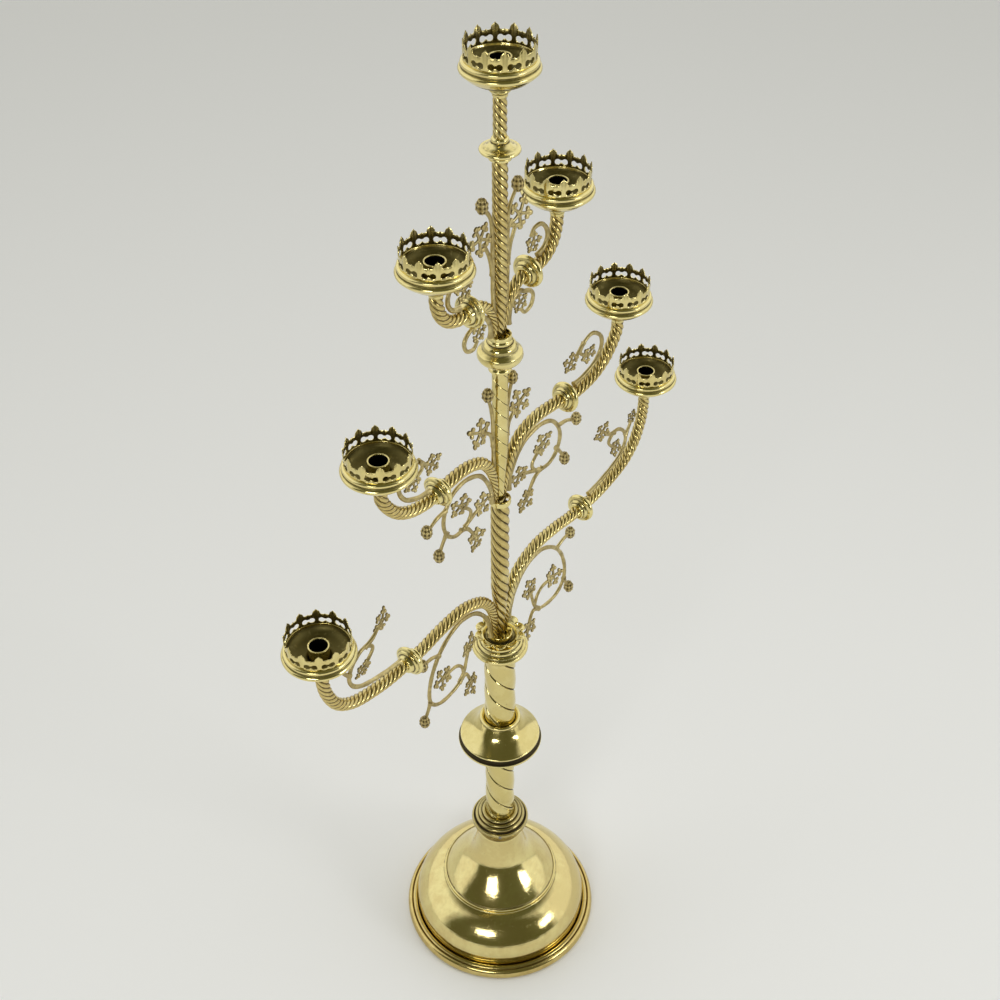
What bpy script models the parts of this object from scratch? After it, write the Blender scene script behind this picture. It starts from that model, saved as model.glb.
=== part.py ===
"""Seven-light brass candelabra: a domed foot, a twisted stem clamped by a tie rod, three pairs of
leafy arms, and seven candle cups that each turn on the threaded spigot at their arm's end.

Frame: +Z up, origin on the floor under the stem's axis, arms in the XZ plane ("right" is +X).
Numbers in the tables are millimetres: (radius, height) for turned pieces, (distance from the
stem's axis, height) for what lies in an arm's plane."""

import math

import bmesh
import bpy
from mathutils import Vector

MM = 0.001
GAP = 0.3  # air kept between two pieces that touch on the real object

# Driving sizes
HEIGHT = 1100.0  # floor to the tips of the centre cup's gallery
ROD_RADIUS = 2.0  # tie rod through the whole stem
ROD_BORE = 2.4  # hole for it in every stem piece
ARM_RADIUS = 6.1  # twisted tube of the arms
ROOT_LENGTH, TAPER_LENGTH = 6.0, 50.0  # slim end of an arm, and how soon it reaches full size
ROOT_REACH = 25.0  # an arm is full size wherever it is farther than this from the stem's axis
SPRIG_RADIUS = 1.8  # cast rods that carry the leaves
SPIGOT_RADIUS, SPIGOT_LENGTH = 3.0, 8.0
CUP_DROP = 48.0  # from a gallery's tips down to the underside of its cup
GALLERY_RADIUS, GALLERY_WALL, GALLERY_TIPS = 28.9, 0.9, 12
GALLERY_POST = 12.0  # degrees of the circle that each pointed tip takes up
LEAF_LOBES, LEAF_NOTCH, LEAF_THICKNESS = 5, 0.45, 2.0  # a notch lies at this share of the size
ROD_FOOT = 118.4  # lower end of the tie rod
NUT_BOTTOM, NUT_TOP, NUT_FLATS = 125.9, 134.1, 10.0

# Segments round each kind of turned piece
WIDE, MEDIUM, SMALL, CUP_SEGMENTS, ARM_KNOP_SEGMENTS = 32, 20, 16, 14, 10
ARM_SIDES, SPRIG_SIDES, ROD_SIDES = 8, 5, 8

# Each arm: tier, side (+1 is +X), reach to the cup's axis, swing about the stem in degrees.
# The arms were bent by hand, so reach and swing differ a little from arm to arm.
ARMS = {
    "low_left": ("low", -1, 253.0, 0.0),
    "low_right": ("low", 1, 253.0, 0.0),
    "mid_left": ("mid", -1, 164.4, 0.0),
    "mid_right": ("mid", 1, 170.6, -4.4),
    "top_left": ("top", -1, 84.6, 0.0),
    "top_right": ("top", 1, 81.7, 0.0),
}

# Each tier: nominal reach, height of the gallery tips, the arm's centre line from its root at the
# stem to just below the cup, how far along it the knop sits, and its two leafy sprays.
TIERS = {
    "low": {
        "reach": 253.0,
        "tips": 666.2,
        "root_radius": 2.6,
        "line": [
            (8.5, 462.4), (9.5, 484.4), (13, 502.4), (20, 518.4), (34, 532.4), (60, 542.4), (92, 542.4),
            (118, 538.9), (140, 537.9), (165, 537.9), (190, 541.4), (218, 549.4), (238, 564.4),
            (249, 585.4), (253, 604.4),
        ],
        "knop": 140,
        "inner_rods": [
            [(15, 470.4), (18, 488.4), (27, 508.4), (44, 524.4), (68, 528.4), (90, 517.4), (106, 497.4),
             (114, 471.4), (111, 452.4), (97, 441.9), (76, 442.4), (62, 450.4), (63, 464.4), (73, 473.4),
             (90, 473.4)],
            [(66, 447.4), (59, 458.4), (52, 482.4)],
            [(68, 445.4), (57, 449.4), (49, 432.4)],
            [(97, 509.4), (108, 514.4), (118, 515.4)],
            [(113, 456.4), (117, 447.4), (121, 440.4)],
        ],
        "inner_leaves": [(93, 473.4, 0, 15), (51, 486.4, 110, 15), (49, 428.4, 260, 15)],
        "inner_buds": [(122, 515.4), (123, 436.4)],
        "outer_rods": [
            [(153, 547.9), (180, 552.4), (204, 559.4), (217, 569.4), (221, 581.4), (216, 593.4),
             (205, 602.4), (195, 602.4), (188, 594.4), (199, 581.4)],
            [(198, 602.4), (187, 606.4), (177, 615.4)],
            [(220, 584.4), (226, 592.4), (230, 599.4)],
        ],
        "outer_leaves": [(174, 617.4, 120, 14), (202, 579.4, 330, 12), (231, 603.4, 70, 9)],
    },
    "mid": {
        "reach": 167.5,
        "tips": 810.1,
        "root_radius": 2.0,
        "line": [
            (6.3, 640.4), (7.4, 660.4), (11.5, 678.4), (19, 694.4), (31, 706.4), (52, 713.4), (77, 713.4),
            (92, 712.4), (108, 710.4), (130, 714.9), (147, 724.4), (159, 737.4), (166, 749.4),
            (167.5, 755.4),
        ],
        "knop": 92,
        "inner_rods": [
            [(12.4, 647.4), (14, 661.4), (20, 676.4), (32, 691.9), (52, 699.4), (70, 696.4), (81, 685.4),
             (86, 670.4), (82, 654.4), (71, 644.4), (58, 644.4), (48, 650.4), (46, 659.4), (57, 671.4)],
            [(55, 645.4), (44, 649.9), (31, 654.4)],
            [(61, 644.9), (50, 639.4), (39, 622.4)],
            [(82, 683.4), (95, 682.4), (106, 677.4)],
            [(81, 657.4), (88, 647.4), (92, 640.4)],
        ],
        "inner_leaves": [(60, 674.4, 40, 15), (27, 655.4, 170, 14), (37, 618.4, 240, 15)],
        "inner_buds": [(110, 676.4), (94, 636.4)],
        "outer_rods": [
            [(104, 720.4), (120, 723.4), (136, 731.4), (144, 744.4), (142, 757.4), (130, 766.4),
             (119, 763.4), (112, 753.4), (121, 745.4)],
            [(117, 762.4), (111, 756.4), (106, 751.4)],
        ],
        "outer_leaves": [(99, 748.4, 160, 13), (125, 744.4, 340, 12)],
    },
    "top": {
        "reach": 83.2,
        "tips": 960.7,
        "root_radius": 2.0,
        "line": [
            (6.3, 828.9), (7.2, 844.4), (11, 856.4), (18, 867.4), (28, 873.9), (41, 875.4), (56, 875.9),
            (69, 880.9), (78, 890.4), (82, 900.4), (83.2, 906.4),
        ],
        "knop": 41,
        "inner_rods": [
            [(12.8, 835.4), (14, 847.4), (19, 857.4), (28, 861.4), (36, 857.4), (44, 854.4), (49, 847.4),
             (46, 838.4), (37, 835.4), (31, 841.4)],
        ],
        "inner_leaves": [(29, 849.4, 100, 11)],
        "inner_buds": [],
        "outer_rods": [
            [(54, 884.9), (64, 888.9), (69, 897.4), (67, 906.4), (59, 913.9), (49, 913.9), (44, 907.4)],
        ],
        "outer_leaves": [(48, 900.4, 300, 12)],
    },
}

# Leafy sprigs that climb the stem itself, one each side of two of its stretches.
STEM_SPRIGS = {
    "mid": {
        "rods": [
            [(10.6, 705.4), (10.4, 722.4), (11, 742.4), (13, 756.4), (17, 770.4)],
            [(10.4, 714.4), (14, 728.4), (24, 737.4)],
        ],
        "leaves": [(29, 740.4, 30, 17)],
        "buds": [(18, 775.4)],
    },
    "high": {
        "rods": [
            [(11, 882.4), (10.4, 906.4), (10.6, 934.4), (13, 950.4), (21, 962.4)],
            [(10.6, 896.4), (14, 913.4), (22, 930.4)],
        ],
        "leaves": [(27, 937.4, 60, 17)],
        "buds": [(24, 966.4)],
    },
}

# Turned pieces of the stem from the floor up: closed outlines of (radius, height).
RIM = [
    (100.4, 0), (108.6, 0), (111.6, 1.3), (112.5, 4), (111.9, 7.8), (109.9, 10.8), (107.6, 11.9),
    (106.7, 10.8), (105.2, 12.2), (102.6, 12.8), (100.4, 11.6),
]
DOME_OUTSIDE = [
    (100, 1), (100, 27.5), (99, 33), (96.9, 38.5), (93.6, 44.3), (89.3, 49.8), (84.3, 55),
    (78.9, 59.5), (73.5, 63), (68.5, 65.2), (61, 66),
]
BELL_OUTSIDE = [
    (65, 67.4), (61.5, 72.9), (54.5, 81.9), (47.5, 89.9), (41.5, 96.2), (36.8, 101.9),
    (33.4, 107.4), (31, 113.4), (29, 120.9), (27.2, 129.4), (26, 137.9), (25.5, 146.4),
]
SHEET = 1.4  # wall of the spun foot
FOOT_COLLAR = [
    (ROD_BORE, 134.4), (16.6, 134.4), (16.6, 146.7), (25.8, 146.7), (27.4, 152.6), (30, 157.4),
    (32.3, 160.9), (32.6, 163.5), (31.4, 166.3), (29.4, 165.9), (28.2, 169.7), (25.2, 170.8),
    (24.2, 173.1), (20.8, 173.5), (19.6, 176), (16.8, 176), (16.8, 166.4), (ROD_BORE, 166.4),
]
COLUMN_KNOP = [
    (16.8, 288.4), (20.5, 288.4), (22, 291.4), (21, 294.4), (43.8, 300.4), (45.4, 301.6),
    (45.5, 303.6), (43.8, 304.9), (43.4, 309.6), (42.3, 311.5), (38, 315.6), (32, 321.2),
    (27, 326.3), (23.9, 330.9), (21.7, 334.2), (22.1, 336.2), (20.8, 338), (17.1, 338),
    (17.1, 325.4), (ROD_BORE, 325.4), (ROD_BORE, 296.9), (16.8, 296.9),
]
ARM_COLLAR = [
    (17.1, 436.4), (18.7, 436.4), (20.5, 439.9), (27, 442.4), (28.9, 444.9), (28.5, 447.9),
    (26.5, 450), (23.2, 451.6), (22.9, 453.8), (20.5, 455), (20.2, 457), (ROD_BORE, 457),
    (ROD_BORE, 444.4), (17.1, 444.4),
]
PETAL_CUP = [
    (ROD_BORE, 457.3), (16.5, 457.3), (19.5, 458.6), (25.5, 464), (26.2, 466), (24.6, 466.3),
    (19.9, 462.6), (18.4, 463), (13, 459.8), (12.9, 466), (11.7, 466),
    (11.7, 459.2), (ROD_BORE, 459.2),
]
PETALS, PETAL_DEPTH, PETAL_ROOT = 10, 0.16, 19.6  # scallops, how deep, and where they begin
ROPE_LOW = [
    (ROD_BORE, 459.5), (5, 459.5), (5.2, 482.4), (7, 504.4), (9.1, 528.4), (9.3, 630.4), (8.8, 636.4),
    (7.4, 638.8), (ROD_BORE, 638.8),
]
BINDING_RING = [(9.5, 639.4), (10.5, 639.4), (10.5, 645.4), (9.5, 645.4)]
MID_STEM = [
    (ROD_BORE, 639.1), (3.8, 639.1), (3.9, 658.4), (5.4, 677.4), (7.4, 702.4), (7.4, 796.1),
    (ROD_BORE, 796.1),
]
MID_KNOP = [
    (7.8, 793.6), (10.2, 793.6), (10.7, 795.4), (10.4, 797.8), (9.2, 799.4), (10.6, 801.4),
    (16.8, 804), (20.2, 807.6), (20.9, 811.2), (19.6, 815.2), (15.4, 817.8), (14.2, 821.6),
    (11.2, 823.8), (11.2, 827), (10.3, 828.7), (10.3, 832.4), (9.2, 832.4), (9.2, 827.9),
    (ROD_BORE, 827.9), (ROD_BORE, 796.6), (7.8, 796.6),
]
ROPE_HIGH = [
    (ROD_BORE, 828.2), (3.8, 828.2), (3.9, 844.4), (5.6, 857.4), (6.7, 874.4), (6.7, 1002.1),
    (ROD_BORE, 1002.1),
]
HIGH_KNOP = [
    (7.1, 998.4), (9.2, 998.4), (9.7, 999.8), (9.1, 1002), (9.8, 1003.2), (16, 1005.4),
    (17.2, 1006.6), (16.2, 1008.4), (12.2, 1010.8), (8.4, 1013.3), (7.2, 1014.8), (7.2, 1017),
    (6.2, 1018.2), (6.2, 1012.4), (ROD_BORE, 1012.4), (ROD_BORE, 1002.4), (7.1, 1002.4),
]
ROPE_TOP_FOOT, ROPE_TOP_RADIUS = 1012.7, 5.8
COLUMN_LOW, COLUMN_HIGH = (16.4, 166.7, 296.6), (16.6, 325.7, 444.1)  # radius, bottom, top
COLUMN_WALL = 1.6

# A candle cup, heights measured down from its gallery's tips: drip pan, candle socket and the
# blind hole that turns on the spigot. The outline starts and ends on the axis.
SOCKET_BORE, SOCKET_FLOOR, SOCKET_TOP = 8.0, -36.0, -14.0
CUP = [
    (0, SOCKET_FLOOR), (SOCKET_BORE, SOCKET_FLOOR), (SOCKET_BORE, SOCKET_TOP), (9.3, SOCKET_TOP),
    (9.3, -24), (26.4, -20), (27.2, -17.3), (29.9, -17.3), (29.9, -20),
    (32.2, -21.6), (32.5, -24.5), (30, -29), (24.4, -33), (17, -36.6), (8.8, -39.6),
    (8.8, -42), (6.6, -44), (6.4, -CUP_DROP), (3.35, -CUP_DROP), (3.35, -39), (0, -39),
]
GALLERY_FOOT, GALLERY_VALLEY = -17.0, -5.0

# Half-section of the small knop round each arm: (radius, distance along the arm).
ARM_KNOP = [
    (6.9, -7), (8.2, -7), (11, -3.4), (15.2, -1.6), (15.6, 0.6), (11.5, 4), (8.4, 8), (6.9, 8),
]


def clear_scene():
    for thing in list(bpy.data.objects):
        bpy.data.objects.remove(thing, do_unlink=True)


def metal(name, colour, roughness, metallic=1.0):
    material = bpy.data.materials.new(name)
    material.use_nodes = True
    shader = material.node_tree.nodes["Principled BSDF"]
    shader.inputs["Base Color"].default_value = (*colour, 1)
    shader.inputs["Roughness"].default_value = roughness
    shader.inputs["Metallic"].default_value = metallic
    return material


def mesh_from(bm, name):
    bmesh.ops.recalc_face_normals(bm, faces=bm.faces)
    mesh = bpy.data.meshes.new(name)
    bm.to_mesh(mesh)
    bm.free()
    mesh.shade_smooth()
    mesh.set_sharp_from_angle(angle=math.radians(35))
    return mesh


def place(name, mesh, material, location=(0, 0, 0)):
    thing = bpy.data.objects.new(name, mesh)
    bpy.context.collection.objects.link(thing)
    thing.location = Vector(location) * MM
    if not mesh.materials:
        mesh.materials.append(material)
    return thing


def turned_mesh(name, outline, segments, swell=None):
    """A closed outline of (radius, height) turned round Z. swell(angle, radius) scales a radius."""
    bm = bmesh.new()
    rings = []
    for radius, height in outline:
        if radius == 0:
            rings.append([bm.verts.new((0, 0, height * MM))])
            continue
        ring = []
        for step in range(segments):
            angle = math.tau * step / segments
            r = radius * (swell(angle, radius) if swell else 1) * MM
            ring.append(bm.verts.new((r * math.cos(angle), r * math.sin(angle), height * MM)))
        rings.append(ring)
    for a, b in zip(rings, rings[1:] + rings[:1]):
        if len(a) == len(b) == 1:
            continue
        for i in range(segments):
            j = (i + 1) % segments
            corners = [a[i % len(a)], a[j % len(a)], b[j % len(b)], b[i % len(b)]]
            bm.faces.new(list(dict.fromkeys(corners)))
    return mesh_from(bm, name)


def turned(name, outline, segments, material, swell=None):
    return place(name, turned_mesh(name, outline, segments, swell), material)


def shell(outside, wall):
    """The closed outline of a spun sheet: its outside, then back along its inside."""
    points = [Vector(p) for p in outside]
    inside = []
    for i, point in enumerate(points):
        along = (points[min(i + 1, len(points) - 1)] - points[max(i - 1, 0)]).normalized()
        inside.append(point + Vector((-along.y, along.x)) * wall)
    return [tuple(p) for p in points + inside[::-1]]


class Plane:
    """The upright plane of an arm: one side of the stem, swung about it by some degrees."""

    def __init__(self, side, swing, stretch):
        angle = math.radians(swing) + (0 if side > 0 else math.pi)
        self.out = Vector((math.cos(angle), math.sin(angle), 0))
        self.across = Vector((-math.sin(angle), math.cos(angle), 0))
        self.stretch = stretch

    def at(self, point):
        rho, z = point
        return (self.out * (rho * self.stretch) + Vector((0, 0, z))) * MM


def rod_bmesh(plane, points, radii, sides):
    """A round bar through points of the plane, with a radius in millimetres at each."""
    bm = bmesh.new()
    places = [plane.at(p) for p in points]
    rings = []
    for i, (centre, radius) in enumerate(zip(places, radii)):
        along = places[min(i + 1, len(places) - 1)] - places[max(i - 1, 0)]
        side = plane.across.cross(along.normalized())
        ring = []
        for step in range(sides):
            angle = math.tau * (step + 0.5) / sides
            offset = side * math.cos(angle) + plane.across * math.sin(angle)
            ring.append(bm.verts.new(centre + offset * radius * MM))
        rings.append(ring)
    for a, b in zip(rings, rings[1:]):
        for i in range(sides):
            j = (i + 1) % sides
            bm.faces.new((a[i], a[j], b[j], b[i]))
    bm.faces.new(rings[0][::-1])
    bm.faces.new(rings[-1])
    return bm


def leaf_bmesh(plane, rho, z, heading, size):
    """A flat cast leaf of five lobes; heading is the way its tip points, in degrees from outward."""
    bm = bmesh.new()
    points = 2 * LEAF_LOBES
    sheets = []
    for level in (-LEAF_THICKNESS / 2 * MM, LEAF_THICKNESS / 2 * MM):
        sheet = []
        for step in range(points):
            reach = size if step % 2 == 0 else LEAF_NOTCH * size
            angle = math.radians(heading) + math.tau * step / points
            point = plane.at((rho, z)) + plane.out * (reach * MM * math.cos(angle))
            point += Vector((0, 0, reach * MM * math.sin(angle)))
            sheet.append(bm.verts.new(point + plane.across * level))
        sheets.append(sheet)
    bm.faces.new(sheets[0])
    bm.faces.new(sheets[1][::-1])
    for i in range(points):
        j = (i + 1) % points
        bm.faces.new((sheets[0][i], sheets[0][j], sheets[1][j], sheets[1][i]))
    return bm


def bud_bmesh(plane, rho, z, radius=5.0, height=1.35):
    bm = bmesh.new()
    bmesh.ops.create_uvsphere(bm, u_segments=6, v_segments=4, radius=radius * MM)
    bmesh.ops.scale(bm, vec=(1, 1, height), verts=bm.verts)
    bmesh.ops.translate(bm, vec=plane.at((rho, z)), verts=bm.verts)
    return bm


def fuse(name, pieces, material):
    """One solid from several overlapping ones, by Boolean union."""
    things = [place(f"{name}_{i}", mesh_from(bm, name), material) for i, bm in enumerate(pieces)]
    base, others = things[0], things[1:]
    for other in others:
        union = base.modifiers.new("union", "BOOLEAN")
        union.operation = "UNION"
        union.object = other
        union.solver = "MANIFOLD"
    graph = bpy.context.evaluated_depsgraph_get()
    mesh = bpy.data.meshes.new_from_object(base.evaluated_get(graph))
    for thing in things:
        bpy.data.objects.remove(thing, do_unlink=True)
    return place(name, mesh, material)


def leafwork(name, plane, rods, leaves, buds, material):
    pieces = []
    for points in rods:
        pieces.append(rod_bmesh(plane, points, [SPRIG_RADIUS] * len(points), SPRIG_SIDES))
    pieces += [leaf_bmesh(plane, *leaf) for leaf in leaves]
    pieces += [bud_bmesh(plane, *bud) for bud in buds]
    return fuse(name, pieces, material)


def arm_line(tier):
    """The arm's centre line, ending upright at the spigot's shoulder."""
    shoulder = tier["tips"] - CUP_DROP - GAP
    return [Vector(point) for point in (*tier["line"], (tier["reach"], shoulder))]


def arm_radii(line, tier):
    """The tube's radius at each point: slim where the root lies against the stem."""
    root, height = tier["root_radius"], tier["line"][0][1]
    grown = [(p.y - height - ROOT_LENGTH) / TAPER_LENGTH + (p.x > ROOT_REACH) for p in line]
    return [root + (ARM_RADIUS - root) * min(1, max(0, g)) for g in grown]


def build_arm(name, tier, plane, brass, bronze):
    line = arm_line(tier)
    radii = arm_radii(line, tier)
    top = line[-1]
    spigot = [top, top + Vector((0, SPIGOT_LENGTH))]
    bm = rod_bmesh(plane, [*line, *spigot], [*radii, SPIGOT_RADIUS, SPIGOT_RADIUS], ARM_SIDES)
    place(f"arm_{name}", mesh_from(bm, name), brass)

    near = min(range(len(line)), key=lambda i: abs(line[i].x - tier["knop"]))
    along = plane.at(line[near + 1]) - plane.at(line[near - 1])
    knop = turned(f"knop_{name}", ARM_KNOP, ARM_KNOP_SEGMENTS, brass)
    knop.location = plane.at(line[near])
    knop.rotation_mode = "QUATERNION"
    knop.rotation_quaternion = along.to_track_quat("Z", "Y")

    leafwork(f"spray_inner_{name}", plane, tier["inner_rods"], tier["inner_leaves"],
             tier["inner_buds"], bronze)
    leafwork(f"spray_outer_{name}", plane, tier["outer_rods"], tier["outer_leaves"], [], bronze)


def gallery_mesh():
    """The upright band round a cup: a row of pointed tips with valleys between them."""
    bm = bmesh.new()
    half_post = math.radians(GALLERY_POST / 2)
    walls = []
    for radius in (GALLERY_RADIUS, GALLERY_RADIUS - GALLERY_WALL):
        posts = []
        for step in range(GALLERY_TIPS):
            middle = math.tau * step / GALLERY_TIPS
            corners = [(-half_post, GALLERY_FOOT), (half_post, GALLERY_FOOT),
                       (half_post, GALLERY_VALLEY), (0, 0), (-half_post, GALLERY_VALLEY)]
            post = []
            for turn, height in corners:
                angle = middle + turn
                spot = (radius * math.cos(angle), radius * math.sin(angle), height)
                post.append(bm.verts.new(Vector(spot) * MM))
            posts.append(post)
        walls.append(posts)
    outer, inner = walls
    for i in range(GALLERY_TIPS):
        j = (i + 1) % GALLERY_TIPS
        for wall in walls:
            bm.faces.new(wall[i])
            bm.faces.new((wall[i][1], wall[j][0], wall[j][4], wall[i][2]))
        rim = [outer[i][0], outer[i][1], outer[j][0]], [inner[i][0], inner[i][1], inner[j][0]]
        crest = ([outer[i][4], outer[i][3], outer[i][2], outer[j][4]],
                 [inner[i][4], inner[i][3], inner[i][2], inner[j][4]])
        for front, back in (rim, crest):
            for k in range(len(front) - 1):
                bm.faces.new((front[k], front[k + 1], back[k + 1], back[k]))
    return mesh_from(bm, "gallery")


def build_cups(brass):
    cup = turned_mesh("cup", CUP, CUP_SEGMENTS)
    gallery = gallery_mesh()
    centres = {"centre": Vector((0, 0, HEIGHT))}
    for name, (tier, side, reach, swing) in ARMS.items():
        plane = Plane(side, swing, 1)
        centres[name] = plane.at((reach, TIERS[tier]["tips"])) / MM
    for name, centre in centres.items():
        axis = bpy.data.objects.new(f"turn_{name}", None)
        bpy.context.collection.objects.link(axis)
        axis.location = centre * MM
        for thing in (place(f"cup_{name}", cup, brass), place(f"gallery_{name}", gallery, brass)):
            thing.parent = axis


def hex_nut(name, bottom, top, across_flats, material):
    corner = across_flats / math.sqrt(3)
    bore = ROD_BORE + GAP  # the bore is six-sided too, so its flats lie nearer the rod
    outline = [(bore, bottom), (corner, bottom), (corner, top), (bore, top)]
    return turned(name, outline, 6, material)


def petal_swell(angle, radius):
    """Rounded petals beyond the cup's floor, whole circles inside it."""
    if radius < PETAL_ROOT:
        return 1
    return 1 - PETAL_DEPTH * (1 - abs(math.cos(PETALS * angle / 2)) ** 0.6)


def tube(radius, bottom, top):
    inner = radius - COLUMN_WALL
    return [(inner, bottom), (radius, bottom), (radius, top), (inner, top)]


def build_stem(brass, patina, steel):
    turned("foot_rim", RIM, WIDE, brass)
    turned("foot_dome", shell(DOME_OUTSIDE, SHEET), WIDE, brass)
    turned("foot_bell", shell(BELL_OUTSIDE, SHEET), WIDE, brass)
    turned("foot_collar", FOOT_COLLAR, MEDIUM, patina)
    turned("column_low", tube(*COLUMN_LOW), SMALL, brass)
    turned("column_knop", COLUMN_KNOP, WIDE, brass)
    turned("column_high", tube(*COLUMN_HIGH), SMALL, brass)
    turned("arm_collar", ARM_COLLAR, MEDIUM, brass)
    turned("petal_cup", PETAL_CUP, 3 * PETALS, brass, petal_swell)
    turned("rope_low", ROPE_LOW, SMALL, brass)
    turned("binding_ring", BINDING_RING, SMALL, brass)
    turned("mid_stem", MID_STEM, SMALL, brass)
    turned("mid_knop", MID_KNOP, MEDIUM, brass)
    turned("rope_high", ROPE_HIGH, SMALL, brass)
    turned("high_knop", HIGH_KNOP, MEDIUM, brass)
    shoulder = HEIGHT - CUP_DROP - GAP
    rod_top = shoulder - 6
    spigot_top = shoulder + SPIGOT_LENGTH
    rope_top = [
        (0, rod_top + GAP), (ROD_BORE, rod_top + GAP), (ROD_BORE, ROPE_TOP_FOOT),
        (ROPE_TOP_RADIUS, ROPE_TOP_FOOT), (ROPE_TOP_RADIUS, shoulder), (SPIGOT_RADIUS, shoulder),
        (SPIGOT_RADIUS, spigot_top), (0, spigot_top),
    ]
    tie_rod = [(0, ROD_FOOT), (ROD_RADIUS, ROD_FOOT), (ROD_RADIUS, rod_top), (0, rod_top)]
    turned("rope_top", rope_top, SMALL, brass)
    turned("tie_rod", tie_rod, ROD_SIDES, steel)
    hex_nut("foot_nut", NUT_BOTTOM, NUT_TOP, NUT_FLATS, steel)


def main():
    clear_scene()
    brass = metal("polished_brass", (0.78, 0.62, 0.25), 0.22)
    bronze = metal("aged_brass", (0.47, 0.35, 0.14), 0.38)
    patina = metal("patinated_brass", (0.36, 0.26, 0.11), 0.42)
    steel = metal("steel", (0.45, 0.45, 0.46), 0.4)
    build_stem(brass, patina, steel)
    for name, (tier_name, side, reach, swing) in ARMS.items():
        tier = TIERS[tier_name]
        plane = Plane(side, swing, reach / tier["reach"])
        build_arm(name, tier, plane, brass, bronze)
    for level, parts in STEM_SPRIGS.items():
        for side, word in ((-1, "left"), (1, "right")):
            leafwork(f"sprig_{level}_{word}", Plane(side, 0, 1), parts["rods"], parts["leaves"],
                     parts["buds"], bronze)
    build_cups(brass)


main()
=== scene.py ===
"""The looks of the seven-light brass candelabra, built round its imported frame.

Points are millimetres in the frame's axes: +Z up the stem, +X to the right-hand arms. A turned
piece is an outline of (radius, height) whose outer side runs upwards; a third number in a point
limits how far its corner is rounded. What lies in an arm's upright plane is (distance from the
stem's axis, height)."""

import math
import random

import bmesh
import bpy
import numpy as np
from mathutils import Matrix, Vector


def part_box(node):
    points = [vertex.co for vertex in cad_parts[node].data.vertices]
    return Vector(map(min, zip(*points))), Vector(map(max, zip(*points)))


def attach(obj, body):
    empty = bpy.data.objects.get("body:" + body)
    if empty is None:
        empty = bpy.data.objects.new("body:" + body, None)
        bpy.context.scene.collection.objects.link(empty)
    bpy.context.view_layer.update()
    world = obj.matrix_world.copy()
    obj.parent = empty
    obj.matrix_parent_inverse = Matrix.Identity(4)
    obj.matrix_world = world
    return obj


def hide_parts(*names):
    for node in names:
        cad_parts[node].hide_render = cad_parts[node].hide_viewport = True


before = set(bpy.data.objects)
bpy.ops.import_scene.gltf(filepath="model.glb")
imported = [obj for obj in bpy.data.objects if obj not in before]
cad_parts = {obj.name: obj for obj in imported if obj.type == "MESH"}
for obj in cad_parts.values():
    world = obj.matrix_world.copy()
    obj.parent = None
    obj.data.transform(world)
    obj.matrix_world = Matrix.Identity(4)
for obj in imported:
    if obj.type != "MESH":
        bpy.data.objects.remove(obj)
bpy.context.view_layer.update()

MM = 0.001
TAU = math.tau
UP = np.array((0.0, 0.0, 1.0))
STEM_ACROSS = np.array((0.0, 1.0, 0.0))  # where a bar on the stem starts its ring of points
chance = random.Random(11)

CUPS = ("centre", "low_left", "low_right", "mid_left", "mid_right", "top_left", "top_right")

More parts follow.
